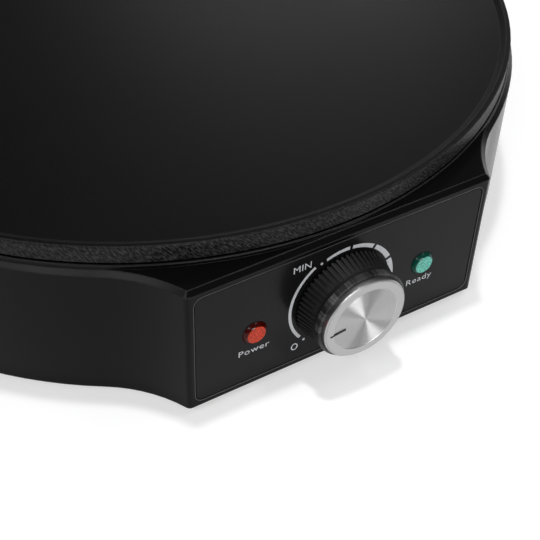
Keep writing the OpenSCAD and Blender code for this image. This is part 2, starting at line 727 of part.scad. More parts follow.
module upper_housing() color([0.05, 0.05, 0.055]) on_axis() difference() {
    union() {
        shell();
        ledge();
        gussets();
        posts();
        // flat pad inside the wall for the gland
        facing_back(0, inner_r - gland_seat, gland_z)
            cylinder(h = gland_seat + wall_t / 2, r = gland_flange_r + 2.5);
        at_lamps() translate([0, 0, -front_wall_t - socket_depth])
            cylinder(h = socket_depth + over, r = socket_r + socket_wall);
    }
    // pocket of the panel and what passes through it
    facing_front(0, panel_mid_z) {
        translate([0, 0, -pocket_depth]) linear_extrude(pocket_depth + over)
            rounded_rect(panel_w + 2 * panel_groove, panel_h + 2 * panel_groove, panel_corner_r + panel_groove);
        for (sx = [-1, 1], sz = [-1, 1]) translate([sx * peg_x, sz * peg_z, -front_wall_t - over])
            cylinder(h = front_wall_t, r = peg_r + push_gap);
    }
    facing_front(0, knob_z) translate([0, 0, -front_wall_t - over])
        cylinder(h = front_wall_t + over, r = spindle_hole_r);
    at_lamps() {
        translate([0, 0, -front_wall_t - over]) cylinder(h = front_wall_t + over, r = lens_r + push_gap);
        translate([0, 0, -front_wall_t - socket_depth - over])
            cylinder(h = socket_depth + over, r = socket_r);
    }
    // gland, with a flat seat in the round wall
    facing_back(0, inner_r - gland_seat - over, gland_z) cylinder(h = wall_t + 3 * over, r = gland_r + push_gap);
    facing_back(0, body_r - gland_seat, gland_z) cylinder(h = gland_seat + over, r = gland_flange_r + 0.8);
    around(boss_angles, boss_circle_r, ledge_low_z - over)
        cylinder(h = ledge_t + 2 * over, r = m4_r + screw_gap);
    around(post_angles, post_circle_r, 0) threaded_hole(m3_r, pad_z, cover_screw_len);
}

module front_panel() color([0.13, 0.13, 0.14]) on_axis() difference() {
    facing_front(0, panel_mid_z) union() {
        translate([0, 0, -pocket_depth]) linear_extrude(panel_t) rounded_rect(panel_w, panel_h, panel_corner_r);
        for (sx = [-1, 1], sz = [-1, 1]) translate([sx * peg_x, sz * peg_z, -front_wall_t + 0.5])
            cylinder(h = front_wall_t - pocket_depth, r = peg_r);
    }
    facing_front(0, knob_z) translate([0, 0, -front_wall_t])
        cylinder(h = front_wall_t + over, r = spindle_hole_r);
    at_lamps() translate([0, 0, -front_wall_t]) cylinder(h = front_wall_t + over, r = lens_r + push_gap);
}

module lens(s) facing_front(s * lamp_x, lamp_z) difference() {
    union() {
        translate([0, 0, -front_wall_t]) cylinder(h = front_wall_t + lens_proud - lens_bevel, r = lens_r);
        translate([0, 0, lens_proud - lens_bevel])
            cylinder(h = lens_bevel, r1 = lens_r, r2 = lens_r - lens_bevel);
        translate([0, 0, -front_wall_t - lens_flange_t]) cylinder(h = lens_flange_t, r = socket_r - push_gap);
    }
    translate([0, 0, -front_wall_t - lens_flange_t - over])
        cylinder(h = front_wall_t + lens_flange_t + over + lens_proud - lens_wall, r = lens_r - lens_wall);
}

module power_lens() color([0.75, 0.12, 0.08]) on_axis() lens(-1);

module ready_lens() color([0.10, 0.62, 0.25]) on_axis() lens(1);

// A neon lamp with a round tip, held in the bore of its holder
module lamp(s) facing_front(s * lamp_x, lamp_z) translate([0, 0, -front_wall_t - lens_flange_t - holder_len + 2])
    union() {
        cylinder(h = lamp_len - lamp_r, r = lamp_r);
        translate([0, 0, lamp_len - lamp_r]) sphere(r = lamp_r);
    }

module power_lamp() color([0.95, 0.55, 0.30]) on_axis() lamp(-1);

module ready_lamp() color([0.70, 0.90, 0.70]) on_axis() lamp(1);

module lamp_holders() color([0.85, 0.84, 0.80]) on_axis() at_lamps()
    translate([0, 0, -front_wall_t - lens_flange_t - holder_len])
        ring(socket_r - push_gap, lamp_r + push_gap, holder_len);

// ---------- thermostat and knob ----------

module thermostat_bracket() color([0.66, 0.67, 0.68]) on_axis() difference() {
    union() {
        translate([-bracket_w / 2, bracket_y - bracket_t, knob_z - bracket_drop])
            cube([bracket_w, bracket_t, under_z - knob_z + bracket_drop]);
        translate([-bracket_w / 2, bracket_y - bracket_t, under_z - bracket_t])
            cube([bracket_w, bracket_foot, bracket_t]);
    }
    facing_back(0, bracket_y - bracket_t - over, knob_z)
        cylinder(h = bracket_t + 2 * over, r = bush_r + push_gap);
    for (s = [-1, 1]) translate([s * bracket_screw[0], bracket_screw[1], under_z - bracket_t - over])
        cylinder(h = bracket_t + 2 * over, r = m3_r + screw_gap);
}

module bracket_screws() color([0.70, 0.70, 0.70]) on_axis() for (s = [-1, 1])
    translate([s * bracket_screw[0], bracket_screw[1], under_z - bracket_t])
        screw(m3_r, m3_head_r, bracket_t + blind_depth - 0.2);

module thermostat_bush() color([0.80, 0.67, 0.36]) on_axis()
    facing_back(0, bracket_y - bracket_t - bush_len, knob_z) difference() {
        shoulder_z = bush_len + bracket_t;
        union() {
            cylinder(h = shoulder_z + over, r = bush_r);
            translate([0, 0, shoulder_z]) cylinder(h = bush_shoulder_t, r = bush_shoulder_r);
            translate([0, 0, shoulder_z]) cylinder(h = bush_shoulder_t + frame_t, r = spigot_r);
        }
        translate([0, 0, -over])
            cylinder(h = shoulder_z + bush_shoulder_t + frame_t + 2 * over, r = spindle_r + run_gap);
    }

module thermostat_nut() color([0.78, 0.66, 0.36]) on_axis()
    facing_back(0, bracket_y - bracket_t - nut_t, knob_z) difference() {
        cylinder(h = nut_t, d = nut_af / cos(30), $fn = 6);
        translate([0, 0, -over]) cylinder(h = nut_t + 2 * over, r = bush_r + run_gap);
    }

module thermostat_frame() color([0.60, 0.61, 0.62]) on_axis() difference() {
    translate([-frame_w / 2, frame_y, knob_z - frame_w / 2])
        cube([frame_w, frame_t, frame_w / 2 + stack_up + washer_r + 1]);
    facing_back(0, frame_y - over, knob_z) cylinder(h = frame_t + 2 * over, r = spigot_r + push_gap);
    facing_back(0, frame_y - over, stack_z) cylinder(h = frame_t + 2 * over, r = rivet_r + push_gap);
}

module thermostat_washers() color([0.93, 0.91, 0.86]) on_axis() for (i = [0:2])
    facing_back(0, stack_y + i * strip_step, stack_z) ring(washer_r, rivet_r + push_gap, washer_t);

// Two leaves with facing contacts; each has a push-on tab to one side
module thermostat_strips() color([0.72, 0.62, 0.42]) on_axis() for (i = [0, 1]) {
    leaf_y = stack_y + washer_t + i * strip_step;
    side = 2 * i - 1;
    contact_h = (washer_t - face_gap) / 2;
    difference() {
        union() {
            translate([-strip_w / 2, leaf_y, knob_z - leaf_drop])
                cube([strip_w, strip_t, stack_up + leaf_drop + washer_r - 0.5]);
            translate([side > 0 ? 0 : -leaf_tab_reach, leaf_y, stack_z - tab_w / 2])
                cube([leaf_tab_reach, strip_t, tab_w]);
            facing_back(0, side > 0 ? leaf_y - contact_h : leaf_y + strip_t, knob_z - leaf_drop + contact_in)
                cylinder(h = contact_h, r = contact_r);
        }
        facing_back(0, leaf_y - over, stack_z) cylinder(h = strip_t + 2 * over, r = rivet_r + push_gap);
    }
}

module thermostat_rivet() color([0.70, 0.70, 0.70]) on_axis()
    facing_back(0, frame_y - 0.8, stack_z) union() {
        cylinder(h = frame_t + stack_len + 1.6, r = rivet_r);
        cylinder(h = 0.8, r = rivet_r + 1.2);
        translate([0, 0, frame_t + stack_len + 0.8]) cylinder(h = 0.8, r = rivet_r + 1.2);
    }

// What turns with the knob, drawn with the pointer upwards and then set to its place
module on_knob() facing_front(0, knob_z) rotate([0, 0, -pointer_angle]) children();

module thermostat_spindle() color([0.74, 0.74, 0.74]) on_axis() on_knob() {
    tip = -front_y - (stack_y + washer_t - face_gap);
    flange = -front_y - (stack_y + face_gap) - spindle_flange_t;
    union() {
        translate([0, 0, tip]) cylinder(h = -tip + knob_gap, r = spindle_r);
        d_shaft(spindle_r, web_back - face_gap);
        translate([0, 0, flange]) cylinder(h = spindle_flange_t, r = spindle_flange_r);
    }
}

module knob_ribs() intersection() {
    for (i = [0:rib_count - 1]) rotate([0, 0, i * 360 / rib_count])
        translate([skirt_neck_r - 1, -rib_w / 2, knob_gap]) cube([4, rib_w, rib_end - knob_gap]);
    translate([0, 0, knob_gap])
        cylinder(h = rib_end - knob_gap, r1 = rib_tip_r, r2 = skirt_neck_r + 0.1);
}

module knob_skirt() color([0.04, 0.04, 0.045]) on_axis() on_knob() difference() {
    union() {
        rotate_extrude() polygon([
            [0, knob_gap], [skirt_foot_r, knob_gap], [skirt_neck_r, rib_end], [skirt_neck_r, band_back],
            [band_r, band_back + 0.2], [band_r, band_front - 0.3], [band_r - 0.3, band_front], [0, band_front]
        ]);
        knob_ribs();
    }
    translate([0, 0, seat_front]) cylinder(h = cap_seat + over, r = cap_r + push_gap);
    // hollow round the hub, and the hub's end held back from the panel
    translate([0, 0, knob_gap - over]) difference() {
        cylinder(h = web_back - knob_gap + over, r = skirt_neck_r - skirt_wall);
        translate([0, 0, over + 1.5]) cylinder(h = web_back, r = hub_r);
    }
    translate([0, 0, knob_gap]) d_shaft(spindle_r + push_gap, web_back - knob_gap);
}

module knob_cap() color([0.78, 0.78, 0.78]) on_axis() on_knob() difference() {
    rotate_extrude() polygon([
        [0, seat_front], [cap_r, seat_front], [cap_r, knob_depth - cap_bevel],
        [cap_r - cap_bevel, knob_depth], [cap_disc_r, knob_depth],
        [cap_disc_r - cap_dish, knob_depth - cap_dish], [0, knob_depth - cap_dish]
    ]);
    translate([-pointer_w / 2 - run_gap, pointer_in_r - run_gap, knob_depth - pointer_depth])
        cube([pointer_w + 2 * run_gap, pointer_out_r - pointer_in_r + 2 * run_gap, pointer_depth + over]);
}

module knob_pointer() color([0.02, 0.02, 0.02]) on_axis() on_knob()
    translate([-pointer_w / 2, pointer_in_r, knob_depth - pointer_depth])
        cube([pointer_w, pointer_out_r - pointer_in_r, pointer_depth]);

// ---------- base ----------

module at_block_screws() for (s = [-1, 1]) translate([s * block_way / 2, block_y, 0]) children();

module terminal_block() color([0.88, 0.87, 0.83]) on_axis() difference() {
    translate([-block_l / 2, block_y - block_w / 2, cover_top_z + block_boss_h]) cube([block_l, block_w, block_h]);
    for (x = [-block_way, 0, block_way]) {
        facing_back(x, block_y - block_w / 2 - over, cover_top_z + block_boss_h + 5)
            cylinder(h = block_w + 2 * over, r = 2.1);
        for (s = [-1, 1]) translate([x, block_y + s * block_w / 4, cover_top_z + block_boss_h + 5])
            cylinder(h = block_h, r = 2);
    }
    at_block_screws() {
        translate([0, 0, cover_top_z]) cylinder(h = block_h + block_boss_h + over, r = m3_r + screw_gap);
        translate([0, 0, block_head_z]) cylinder(h = block_h, r = m3_head_r + screw_gap);
    }
}

module terminal_screws() color([0.80, 0.68, 0.35]) on_axis()
    for (x = [-block_way, 0, block_way], s = [-1, 1])
        translate([x, block_y + s * block_w / 4, cover_top_z + block_boss_h + 5]) difference() {
            cylinder(h = block_h - 6.5, r = 2 - push_gap);
            translate([-2, -0.3, block_h - 7.5]) cube([4, 0.6, 2]);
        }

module block_screws() color([0.70, 0.70, 0.70]) on_axis() at_block_screws() translate([0, 0, block_head_z])
    mirror([0, 0, 1]) screw(m3_r, m3_head_r, block_head_z - cover_top_z + block_bite - 0.5);

module bottom_cover() color([0.07, 0.07, 0.07]) on_axis() difference() {
    union() {
        translate([0, 0, cover_z]) linear_extrude(cover_t) inner_outline(cover_gap);
        around(post_angles, post_circle_r, cover_z) cylinder(h = pad_z - cover_z, r = post_r);
        for (p = feet_places) translate([p[0], p[1], cover_z])
            cylinder(h = cover_t + foot_boss_h, r = foot_boss_r);
        translate([0, 0, cover_z + cover_t / 2])
            ring(vent_out_r + 6, vent_out_r + 4, cover_t / 2 + cover_rib_h);
        at_block_screws() translate([0, 0, cover_z]) cylinder(h = cover_t + block_boss_h, r = m3_r + 2);
    }
    // counterbores and clearance holes of the cover screws
    around(post_angles, post_circle_r, cover_z - over) {
        cylinder(h = over + head_h, r = m3_head_r + screw_gap);
        cylinder(h = over + cover_t + pad_h + over, r = m3_r + screw_gap);
    }
    for (p = feet_places) translate([p[0], p[1], cover_z - over])
        cylinder(h = over + cover_t + foot_boss_h - 0.5, r = m3_r + run_gap);
    for (i = [0:vent_count - 1]) rotate([0, 0, i * 360 / vent_count])
        translate([0, 0, cover_z - over]) linear_extrude(cover_t + 2 * over) {
            translate([vent_in_r, -vent_w / 2]) square([vent_out_r - vent_in_r, vent_w]);
            for (r = [vent_in_r, vent_out_r]) translate([r, 0]) circle(d = vent_w);
        }
    at_block_screws() translate([0, 0, cover_top_z - block_bite])
        cylinder(h = block_bite + block_boss_h + over, r = m3_r + run_gap);
}

module cover_screws() color([0.55, 0.55, 0.56]) on_axis()
    around(post_angles, post_circle_r, cover_z + head_h) screw(m3_r, m3_head_r, cover_screw_len);

module feet() color([0.10, 0.10, 0.10]) on_axis() for (p = feet_places) translate([p[0], p[1], 0])
    difference() {
        cylinder(h = cover_z, r1 = foot_r - 0.8, r2 = foot_r);
        translate([0, 0, -over]) cylinder(h = over + cover_z - foot_sole, r = m3_head_r + 0.6);
        translate([0, 0, -over]) cylinder(h = cover_z + 2 * over, r = m3_r + screw_gap);
    }

module feet_screws() color([0.70, 0.70, 0.70]) on_axis() for (p = feet_places)
    translate([p[0], p[1], cover_z - foot_sole])
        screw(m3_r, m3_head_r, foot_sole + cover_t + foot_boss_h - 1);

// A rubber bush that snaps into the wall: lip inside, flange and short cone outside
module cord_gland() color([0.05, 0.05, 0.05]) on_axis() facing_back(0, 0, gland_z) rotate_extrude() polygon([
    [cord_hole_r, inner_r - gland_seat - 2], [gland_lip_r - 0.8, inner_r - gland_seat - 2],
    [gland_lip_r, inner_r - gland_seat - 0.4], [gland_lip_r, inner_r - gland_seat],
    [gland_r, inner_r - gland_seat], [gland_r, body_r - gland_seat],
    [gland_flange_r, body_r - gland_seat], [gland_flange_r, body_r - gland_seat + 1.6],
    [gland_r, body_r + gland_proud], [cord_hole_r, body_r + gland_proud]
]);

// ---------- one line for each node ----------

cooking_plate();
heating_element();
element_clips();
clip_screws();
element_beads();
element_terminals();
heat_shield();
plate_spacers();
plate_screws();
earth_tab();
earth_screw();
thermal_fuse();
fuse_clip();
fuse_screw();
upper_housing();
front_panel();
power_lens();
ready_lens();
power_lamp();
ready_lamp();
lamp_holders();
thermostat_bracket();
bracket_screws();
thermostat_frame();
thermostat_washers();
thermostat_strips();
thermostat_rivet();
thermostat_bush();
thermostat_nut();
thermostat_spindle();
knob_skirt();
knob_cap();
knob_pointer();
terminal_block();
terminal_screws();
block_screws();
bottom_cover();
cover_screws();
feet();
feet_screws();
cord_gland();
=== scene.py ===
import json
import math
import bpy
from mathutils import Matrix, Vector


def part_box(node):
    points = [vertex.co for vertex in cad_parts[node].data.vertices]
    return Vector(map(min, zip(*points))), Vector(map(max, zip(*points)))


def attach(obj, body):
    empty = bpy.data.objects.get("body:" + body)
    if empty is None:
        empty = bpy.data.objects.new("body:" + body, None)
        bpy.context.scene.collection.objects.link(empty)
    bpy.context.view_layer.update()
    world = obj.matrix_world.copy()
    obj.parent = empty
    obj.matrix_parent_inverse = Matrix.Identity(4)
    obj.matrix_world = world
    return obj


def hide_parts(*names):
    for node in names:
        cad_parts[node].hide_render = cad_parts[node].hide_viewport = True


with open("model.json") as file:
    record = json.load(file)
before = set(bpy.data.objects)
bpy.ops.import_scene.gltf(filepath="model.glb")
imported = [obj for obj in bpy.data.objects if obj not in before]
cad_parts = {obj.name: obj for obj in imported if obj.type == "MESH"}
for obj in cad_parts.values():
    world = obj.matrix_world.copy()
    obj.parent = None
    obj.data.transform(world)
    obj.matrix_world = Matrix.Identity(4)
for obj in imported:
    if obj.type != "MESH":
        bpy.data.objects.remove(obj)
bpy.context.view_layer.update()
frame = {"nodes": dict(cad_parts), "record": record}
scene = bpy.context.scene
MM = 0.001

# ---------- camera ----------

PITCH, YAW = math.radians(43.08), math.radians(-29.88)
CAMERA_PLACE = Vector((-183.6, -382.22, 312.33)) * MM
SENSOR_WIDTH, FOCAL_LENGTH = 36, 77.31
# the fitted optical centre lies off the photo's middle
SHIFT_X, SHIFT_Y = 0.0944, 0.0111

forward = Vector((-math.sin(YAW) * math.cos(PITCH), math.cos(YAW) * math.cos(PITCH),
                  -math.sin(PITCH)))
right = Vector((math.cos(YAW), math.sin(YAW), 0))
up = right.cross(forward)
cam_data = bpy.data.cameras.new("camera")
camera = bpy.data.objects.new("camera", cam_data)
scene.collection.objects.link(camera)
axes = Matrix((right, up, -forward)).transposed()
camera.matrix_world = Matrix.Translation(CAMERA_PLACE) @ axes.to_4x4()
cam_data.sensor_width = SENSOR_WIDTH
cam_data.lens = FOCAL_LENGTH
cam_data.shift_x = SHIFT_X
cam_data.shift_y = SHIFT_Y
cam_data.clip_start = 0.01
cam_data.clip_end = 200
scene.camera = camera

# ---------- sizes of the object, in metres ----------

plate_lo, plate_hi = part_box("cooking_plate")
AXIS_Y = (plate_lo.y + plate_hi.y) / 2
PLATE_R = (plate_hi.x - plate_lo.x) / 2
knob_lo, knob_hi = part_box("knob_skirt")
KNOB_Z = (knob_lo.z + knob_hi.z) / 2
panel_lo, panel_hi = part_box("front_panel")
PANEL_Y = panel_lo.y
# sizes that no box of the frame gives
CAP_DISC_R, CAP_FACE_R = 13.2 * MM, 16.1 * MM
LENS_R, LENS_BEVEL, LENS_WALL, LENS_FLANGE_T = 4.7 * MM, 1.3 * MM, 1.2 * MM, 1.2 * MM


# ---------- node helpers ----------

class Nodes:
    """A material's nodes, made and linked in one call each.

    Scales are per metre, distances in metres, and tones are linear.
    """

    # how far inside a surface its own edges are looked for
    EDGE_REACH = 0.00045

    def __init__(self, name):
        self.mat = bpy.data.materials.new(name)
        self.mat.use_nodes = True
        self.tree = self.mat.node_tree
        self.shader = self.tree.nodes["Principled BSDF"]
        self.coords = self.add("ShaderNodeTexCoord").outputs["Object"]

    def add(self, kind, inputs=None, **settings):
        node = self.tree.nodes.new(kind)
        for key, value in settings.items():
            setattr(node, key, value)
        for key, value in (inputs or {}).items():
            if isinstance(value, bpy.types.NodeSocket):
                self.tree.links.new(value, node.inputs[key])
            else:
                node.inputs[key].default_value = value
        return node

    def math(self, operation, a, b=0.0):
        return self.add("ShaderNodeMath", {0: a, 1: b}, operation=operation).outputs[0]

    def plus(self, a, b):
        return self.math("ADD", a, b)

    def minus(self, a, b):
        return self.math("SUBTRACT", a, b)

    def times(self, a, b):
        return self.math("MULTIPLY", a, b)

    def length(self, a, b):
        return self.math("SQRT", self.plus(self.times(a, a), self.times(b, b)))

    def noise(self, scale, detail=3.0, vector=None, rough=0.5):
        return self.add("ShaderNodeTexNoise", {
            "Vector": vector or self.coords, "Scale": scale,
            "Detail": detail, "Roughness": rough}).outputs["Fac"]

    def cells(self, scale):
        return self.add("ShaderNodeTexVoronoi",
                        {"Vector": self.coords, "Scale": scale}).outputs["Distance"]

    def remap(self, value, a, b, c=0.0, d=1.0):
        return self.add("ShaderNodeMapRange", {
            "Value": value, "From Min": a, "From Max": b, "To Min": c, "To Max": d}).outputs[0]

    def mix(self, factor, a, b):
        return self.add("ShaderNodeMix", {0: factor, 6: rgba(a), 7: rgba(b)},
                        data_type="RGBA").outputs[2]

    def scaled(self, x, y, z):
        return self.add("ShaderNodeMapping",
                        {"Vector": self.coords, "Scale": (x, y, z)}).outputs[0]

    def bump(self, height, distance, strength, normal=None):
        node = self.add("ShaderNodeBump",
                        {"Height": height, "Distance": distance, "Strength": strength})
        if normal:
            self.tree.links.new(normal, node.inputs["Normal"])
        return node.outputs[0]

    def rounded(self, radius):
        return self.add("ShaderNodeBevel", {"Radius": radius}, samples=6).outputs[0]

    def edges(self):
        """1 along sharp outer edges and 0 on open faces: the mask for a painted highlight along
        the edges.
        """
        inside = self.add("ShaderNodeAmbientOcclusion", {"Distance": self.EDGE_REACH},
                          inside=True, only_local=True, samples=8)
        return self.remap(inside.outputs["AO"], 0.90, 0.62)

    def xyz(self):
        split = self.add("ShaderNodeSeparateXYZ", {0: self.coords})
        return split.outputs[0], split.outputs[1], split.outputs[2]

    def vector(self, x=0.0, y=0.0, z=0.0):
        return self.add("ShaderNodeCombineXYZ", {0: x, 1: y, 2: z}).outputs[0]

    def finish(self, **inputs):
        for key, value in inputs.items():
            socket = self.shader.inputs[key.replace("_", " ")]
            if isinstance(value, bpy.types.NodeSocket):
                self.tree.links.new(value, socket)
            else:
                socket.default_value = rgba(value) if isinstance(value, (tuple, list)) else value
        return self.mat


def rgba(colour):
    """A colour with its alpha; a single number is a grey, and a socket stays as it is."""
    if isinstance(colour, bpy.types.NodeSocket):
        return colour
    if isinstance(colour, (int, float)):
        colour = (colour, colour, colour)
    return (*colour[:3], 1.0)


def times_colour(colour, factor):
    return tuple(c * factor for c in colour)


def brighter(colour, factor):
    return tuple(min(c * factor, 1.0) for c in colour)


# ---------- materials ----------

def nonstick_material():
    """Matte coat with a fine sparkle on top, a coarse cast grain on the edge, and a painted
    highlight along its sharp edges.
    """
    n = Nodes("nonstick")
    x, y, z = n.xyz()
    y = n.minus(y, AXIS_Y)
    radius = n.length(x, y)
    edge = n.times(n.remap(radius, PLATE_R - 0.0006, PLATE_R - 0.0003),
                   n.remap(z, plate_hi.z - 0.0002, plate_hi.z - 0.0007))
    # slanted grain round the edge
    along = n.times(n.math("ARCTAN2", y, x), PLATE_R)
    slant = n.vector(n.plus(along, n.times(z, 0.9)),
                     n.times(n.minus(z, n.times(along, 0.5)), 0.35))
    cast = n.noise(1250, 4.0, slant, 0.65)
    coarse = n.noise(420, 2.0, slant)
    grain = n.noise(3200, 2.0)
    sparkle = n.remap(n.cells(1500), 0.20, 0.05)
    soft = n.noise(14, 3.0)
    # wear from spreading tools: faint circular streaks
    rings = n.noise(900, 2.0, n.vector(radius))
    top = n.mix(n.remap(grain, 0.45, 0.75), (0.0010, 0.0010, 0.0011), (0.0030, 0.0030, 0.0031))
    top = n.mix(n.times(sparkle, n.remap(n.noise(900, 1.0), 0.5, 0.62)), top,
                (0.030, 0.030, 0.031))
    side = n.mix(n.remap(cast, 0.44, 0.66), (0.0015, 0.0015, 0.0016), (0.044, 0.044, 0.045))
    colour = n.mix(edge, top, side)
    # painted highlight along the plate's sharp outer edges, flecked by the cast grain
    colour = n.mix(n.edges(), colour,
                   n.mix(n.remap(cast, 0.40, 0.62), 0.025, (0.15, 0.15, 0.152)))
    gloss = n.plus(n.remap(soft, 0.3, 0.7, 0.35, 0.40), n.times(rings, 0.04))
    height = n.plus(n.times(grain, 0.25),
                    n.times(edge, n.plus(n.times(cast, 1.6), n.times(coarse, 1.4))))
    normal = n.bump(height, 0.00016, 0.8, n.rounded(0.00045))
    return n.finish(Base_Color=colour, Roughness=gloss, Normal=normal, Specular_IOR_Level=0.11)


def plastic_material(name, dark, light, painted_edge_highlight, rough, wave, round_r):
    """Moulded plastic: slow unevenness of tone and gloss, a faint flow ripple, soft edges, and a
    painted highlight along the sharp ones.
    """
    n = Nodes(name)
    slow = n.noise(9, 2.0)
    fine = n.noise(700, 2.0)
    dust = n.remap(n.cells(620), 0.07, 0.02)
    colour = n.mix(n.remap(slow, 0.3, 0.7), dark, light)
    colour = n.mix(n.times(dust, 0.25), colour, times_colour(light, 2.2))
    # painted highlight along sharp outer edges
    colour = n.mix(n.edges(), colour, painted_edge_highlight)
    gloss = n.plus(n.remap(n.noise(24, 3.0), 0.3, 0.7, rough - 0.02, rough + 0.03),
                   n.times(fine, 0.02))
    height = n.plus(n.times(n.noise(55, 2.0), wave), n.times(fine, 0.05))
    normal = n.bump(height, 0.00006, 0.5, n.rounded(round_r))
    return n.finish(Base_Color=colour, Roughness=gloss, Normal=normal, Specular_IOR_Level=0.09)


def grained_material(name, dark, light, rough, grain=900):
    """Spark-eroded plastic, rubber or ceramic with an even fine grain."""
    n = Nodes(name)
    fine = n.noise(grain, 4.0)
    colour = n.mix(n.remap(n.noise(40, 3.0), 0.3, 0.7), dark, light)
    colour = n.mix(n.remap(fine, 0.55, 0.8, 0, 0.4), colour, brighter(light, 1.35))
    gloss = n.remap(fine, 0.3, 0.7, rough - 0.05, rough + 0.05)
    normal = n.bump(n.plus(fine, n.cells(grain * 0.8)), 0.00008, 0.6, n.rounded(0.0002))
    return n.finish(Base_Color=colour, Roughness=gloss, Normal=normal, Specular_IOR_Level=0.4)


def metal_material(name, dark, light, rough, stretch=(1, 1, 1), tint=None):
    """Sheet or turned metal with drawn streaks, faint blotches and softened edges."""
    n = Nodes(name)
    streak = n.noise(1.0, 4.0, n.scaled(*times_colour(stretch, 900)))
    blotch = n.noise(60, 4.0)
    colour = n.mix(n.remap(streak, 0.3, 0.7), dark, light)
    colour = n.mix(n.remap(blotch, 0.45, 0.75, 0, 0.5), colour,
                   tint or times_colour(dark, 0.72))
    gloss = n.plus(n.remap(streak, 0.3, 0.7, rough - 0.06, rough + 0.06),
                   n.times(blotch, 0.05))
    normal = n.bump(streak, 0.00003, 0.5, n.rounded(0.00015))
    return n.finish(Base_Color=colour, Metallic=1.0, Roughness=gloss, Normal=normal)


def spun_material():
    """Spun aluminium: fine turning lines round the knob's axis."""
    n = Nodes("spun_aluminium")
    x, y, z = n.xyz()
    z = n.minus(z, KNOB_Z)
    radius = n.length(x, z)
    lines = n.noise(6500, 2.0, n.vector(radius, n.times(y, 0.2)))
    disc = n.remap(radius, CAP_DISC_R, CAP_DISC_R - 0.0003)
    colour = n.mix(n.remap(lines, 0.3, 0.7), n.mix(disc, 0.38, 0.49), n.mix(disc, 0.46, 0.61))
    gloss = n.plus(n.remap(lines, 0.3, 0.7, 0.26, 0.36), n.times(disc, 0.21))
    # the edge's chamfer catches light only along its outer line
    chamfer = n.times(n.remap(radius, CAP_FACE_R - 0.0001, CAP_FACE_R),
                      n.remap(radius, CAP_FACE_R + 0.00035, CAP_FACE_R + 0.00025))
    gloss = n.plus(gloss, n.times(chamfer, 0.30))
    tangent = n.add("ShaderNodeTangent", direction_type="RADIAL", axis="Y").outputs[0]
    normal = n.bump(lines, 0.000012, 0.4, n.rounded(0.00012))
    return n.finish(Base_Color=colour, Metallic=1.0, Roughness=gloss, Anisotropic=disc,
                    Anisotropic_Rotation=0.25, Tangent=tangent, Normal=normal)


def knob_material():
    """Black knob: satin ribs, and a smooth band next to the cap with a painted sheen of light
    streaks across it.
    """
    n = Nodes("knob_satin")
    x, y, z = n.xyz()
    angle = n.math("ARCTAN2", x, n.minus(z, KNOB_Z))
    on_band = n.remap(y, knob_lo.y + 2.9 * MM, knob_lo.y + 2.6 * MM)
    fine = n.noise(900, 3.0)
    # painted sheen: lighter streaks across the band stand in for the reflections of a spun
    # surface, and slow sets how strongly they show round the knob
    streak = n.noise(1.0, 3.0, n.vector(n.times(angle, 26), n.times(y, 60)))
    slow = n.noise(1.0, 1.0, n.vector(n.times(angle, 3.2)))
    bright = n.times(n.remap(streak, 0.35, 0.7), n.remap(slow, 0.42, 0.6, 0.25, 1.0))
    ribs = n.mix(n.remap(fine, 0.3, 0.7), 0.0050, 0.0085)
    colour = n.mix(on_band, ribs, n.mix(bright, 0.008, 0.11))
    gloss = n.plus(n.remap(on_band, 0.0, 1.0, 0.52, 0.34), n.times(fine, 0.05))
    normal = n.bump(fine, 0.00002, 0.4, n.rounded(0.00015))
    return n.finish(Base_Color=colour, Roughness=gloss, Normal=normal, Specular_IOR_Level=0.2)


def lens_material(name, node, painted_side_shade, bright):
    """Clear coloured plastic with painted light: a shaded tone on its side, a lit tone on its
    cut face, and a glow of its own colour.
    """
    n = Nodes(name)
    face_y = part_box(node)[0].y
    cloud = n.noise(900, 2.0)
    facets = n.remap(n.cells(1700), 0.10, 0.42)
    face = n.remap(n.xyz()[1], face_y + 0.0004, face_y + 0.0002)
    lit = n.mix(n.remap(cloud, 0.3, 0.7), bright, brighter(bright, 1.3))
    # painted light: the lit colour on the front face, darker towards the borders of small cells,
    # and the shaded colour on the side
    colour = n.mix(face, painted_side_shade, n.mix(facets, lit, times_colour(bright, 0.45)))
    gloss = n.remap(n.noise(1500, 2.0), 0.3, 0.7, 0.12, 0.20)
    normal = n.bump(cloud, 0.00003, 0.3, n.rounded(0.0001))
    # the emission is a painted glow of the lens's own colour
    return n.finish(Base_Color=colour, Roughness=gloss, Normal=normal,
                    Transmission_Weight=0.1, IOR=1.49, Specular_IOR_Level=0.14,
                    Emission_Color=colour, Emission_Strength=0.42)


def glass_material():
    n = Nodes("lamp_glass")
    smoke = n.noise(500, 2.0)
    colour = n.mix(n.remap(smoke, 0.3, 0.7), (0.92, 0.88, 0.80), (1.0, 0.97, 0.92))
    return n.finish(Base_Color=colour, Roughness=n.remap(smoke, 0.3, 0.7, 0.02, 0.07),
                    Transmission_Weight=0.9, IOR=1.45, Normal=n.bump(smoke, 0.00002, 0.3))


def ink_material():
    n = Nodes("print_grey")
    fine = n.noise(2500, 3.0)
    colour = n.mix(n.remap(fine, 0.35, 0.65), (0.46, 0.47, 0.49), (0.56, 0.57, 0.59))
    return n.finish(Base_Color=colour, Roughness=n.remap(fine, 0.3, 0.7, 0.42, 0.55),
                    Normal=n.bump(fine, 0.00001, 0.4))


